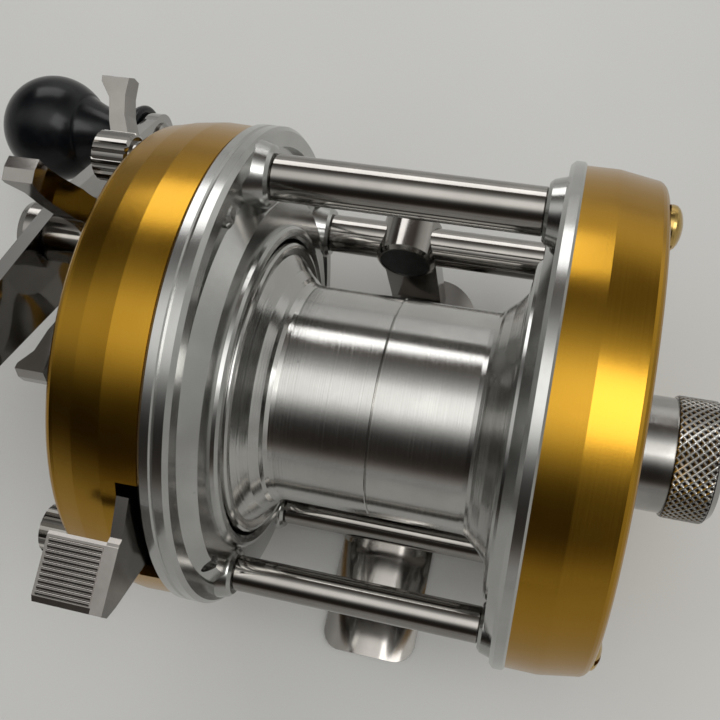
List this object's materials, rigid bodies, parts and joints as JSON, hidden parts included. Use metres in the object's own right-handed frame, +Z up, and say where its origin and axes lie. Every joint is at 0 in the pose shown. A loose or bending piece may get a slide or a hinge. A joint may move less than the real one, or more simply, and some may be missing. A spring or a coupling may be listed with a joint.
{
  "type": "baitcasting fishing reel",
  "caption": "Round baitcasting reel with turned covers, an open pillar frame, a wide free-running spool, a star drag, a double handle and a thumb lever on a straight foot.",
  "frame": {"origin": "middle of the underside of the foot, below the centre of the end plates", "axes": "+X along the spool axis towards the palm side, with the handle at -X; +Y is the front, towards the rod tip; +Z is up, away from the rod"},
  "size_m": [0.1122, 0.0795, 0.065],
  "materials": {
    "satin_aluminium": "satin turned",
    "turned_aluminium": "bright turned",
    "gold_anodised": "satin gold anodised aluminium",
    "brass_screws": "polished",
    "bronze": "machined",
    "black_gloss": "glossy",
    "black_face": "satin",
    "fibre": "pressed fibre",
    "polished_steel": "polished",
    "plain_steel": "machined"
  },
  "bodies": {
    "frame": {"frame_plate_handle": "satin_aluminium", "frame_plate_palm": "satin_aluminium", "pillar_front_upper": "polished_steel", "pillar_front_lower": "polished_steel", "pillar_rear_upper": "polished_steel", "pillar_rear_lower": "polished_steel", "pillar_screws": "plain_steel", "plate_rivets": "satin_aluminium", "foot": "polished_steel", "foot_post": "polished_steel", "foot_post_face": "black_face", "palm_cover": "gold_anodised", "palm_cover_screws": "brass_screws", "palm_sleeve": "plain_steel", "palm_bearing_outer": "plain_steel", "palm_bearing_balls": "plain_steel", "brake_drum": "turned_aluminium", "handle_side_plate": "satin_aluminium", "handle_cover": "gold_anodised", "cover_bushing": "bronze", "shaft_bushing": "bronze", "handle_sleeve": "plain_steel", "handle_bearing_outer": "plain_steel", "handle_bearing_balls": "plain_steel", "yoke_posts": "plain_steel", "yoke_springs": "plain_steel", "pawl_pin": "plain_steel"},
    "spool": {"spool": "turned_aluminium", "spool_shaft": "plain_steel", "clutch_pin": "plain_steel", "brake_carrier": "plain_steel", "palm_bearing_inner": "plain_steel", "handle_bearing_inner": "plain_steel"},
    "pinion": {"pinion": "bronze"},
    "yoke": {"yoke": "bronze"},
    "brake_block_a": {"brake_block_a": "fibre"},
    "brake_block_b": {"brake_block_b": "fibre"},
    "handle": {"drive_shaft": "plain_steel", "ratchet": "plain_steel", "main_gear": "bronze", "drag_washers_fibre": "fibre", "drag_washers_steel": "plain_steel", "shaft_spacer": "plain_steel", "star_washers": "plain_steel", "handle_spacer": "polished_steel", "handle_blade": "polished_steel", "handle_nut": "polished_steel", "knob_post_front": "polished_steel", "knob_post_rear": "polished_steel"},
    "star": {"star_drag": "polished_steel"},
    "knob_front": {"knob_front": "black_gloss"},
    "knob_rear": {"knob_rear": "black_gloss"},
    "thumb_lever": {"thumb_lever": "polished_steel"},
    "palm_cap": {"palm_cap": "polished_steel", "palm_cap_disc": "fibre"},
    "handle_cap": {"handle_cap": "polished_steel"},
    "thumbscrew_front": {"thumbscrew_front": "polished_steel"},
    "thumbscrew_rear": {"thumbscrew_rear": "polished_steel"},
    "thumbscrew_lower": {"thumbscrew_lower": "polished_steel"},
    "ratchet_pawl": {"ratchet_pawl": "bronze"}
  },
  "joints": [
    {"name": "handle_spin", "type": "hinge", "parent": "frame", "child": "handle", "pos_m": [0.0012, 0.01136, 0.04063], "axis": [1, 0, 0], "continuous": true},
    {"name": "spool_spin", "type": "hinge", "parent": "frame", "child": "spool", "pos_m": [0.0012, -0.0023, 0.0333], "axis": [1, 0, 0], "continuous": true},
    {"name": "pinion_shift", "type": "slide", "parent": "spool", "child": "pinion", "axis": [-1, 0, 0], "range_m": [0, 0.0012]},
    {"name": "yoke_shift", "type": "slide", "parent": "frame", "child": "yoke", "axis": [-1, 0, 0], "range_m": [0, 0.0012]},
    {"name": "brake_slide_a", "type": "slide", "parent": "spool", "child": "brake_block_a", "axis": [0, 0, 1], "range_m": [0, 0.0012]},
    {"name": "brake_slide_b", "type": "slide", "parent": "spool", "child": "brake_block_b", "axis": [0, 0, -1], "range_m": [0, 0.0012]},
    {"name": "star_turn", "type": "hinge", "parent": "handle", "child": "star", "pos_m": [0.0012, 0.01136, 0.04063], "axis": [1, 0, 0], "range_deg": [-180, 360]},
    {"name": "knob_front_spin", "type": "hinge", "parent": "handle", "child": "knob_front", "pos_m": [-0.0538, 0.03604, 0.02637], "axis": [1, 0, 0], "continuous": true},
    {"name": "knob_rear_spin", "type": "hinge", "parent": "handle", "child": "knob_rear", "pos_m": [-0.0538, -0.01332, 0.05488], "axis": [1, 0, 0], "continuous": true},
    {"name": "lever_press", "type": "slide", "parent": "frame", "child": "thumb_lever", "axis": [0, -0.5739, -0.8189], "range_m": [0, 0.004], "stiffness_N_per_m": 400, "springref_m": -0.002},
    {"name": "palm_cap_turn", "type": "hinge", "parent": "frame", "child": "palm_cap", "pos_m": [0.0372, -0.0023, 0.0333], "axis": [1, 0, 0], "range_deg": [-90, 360]},
    {"name": "handle_cap_turn", "type": "hinge", "parent": "frame", "child": "handle_cap", "pos_m": [-0.0328, -0.0023, 0.0333], "axis": [1, 0, 0], "range_deg": [-90, 360]},
    {"name": "thumbscrew_front_turn", "type": "hinge", "parent": "frame", "child": "thumbscrew_front", "pos_m": [-0.0348, 0.01662, 0.0549], "axis": [1, 0, 0], "range_deg": [0, 360]},
    {"name": "thumbscrew_rear_turn", "type": "hinge", "parent": "frame", "child": "thumbscrew_rear", "pos_m": [-0.0348, -0.02641, 0.03795], "axis": [1, 0, 0], "range_deg": [0, 360]},
    {"name": "thumbscrew_lower_turn", "type": "hinge", "parent": "frame", "child": "thumbscrew_lower", "pos_m": [-0.0348, 0.00979, 0.00916], "axis": [1, 0, 0], "range_deg": [0, 360]},
    {"name": "pawl_swing", "type": "hinge", "parent": "frame", "child": "ratchet_pawl", "pos_m": [-0.0208, 0.01486, 0.03043], "axis": [1, 0, 0], "range_deg": [0, 12]}
  ],
  "couplings": [
    {"joint": "spool_spin", "follows": "handle_spin", "ratio": -5.2},
    {"joint": "pinion_shift", "follows": "lever_press", "ratio": 0.3},
    {"joint": "yoke_shift", "follows": "lever_press", "ratio": 0.3}
  ]
}
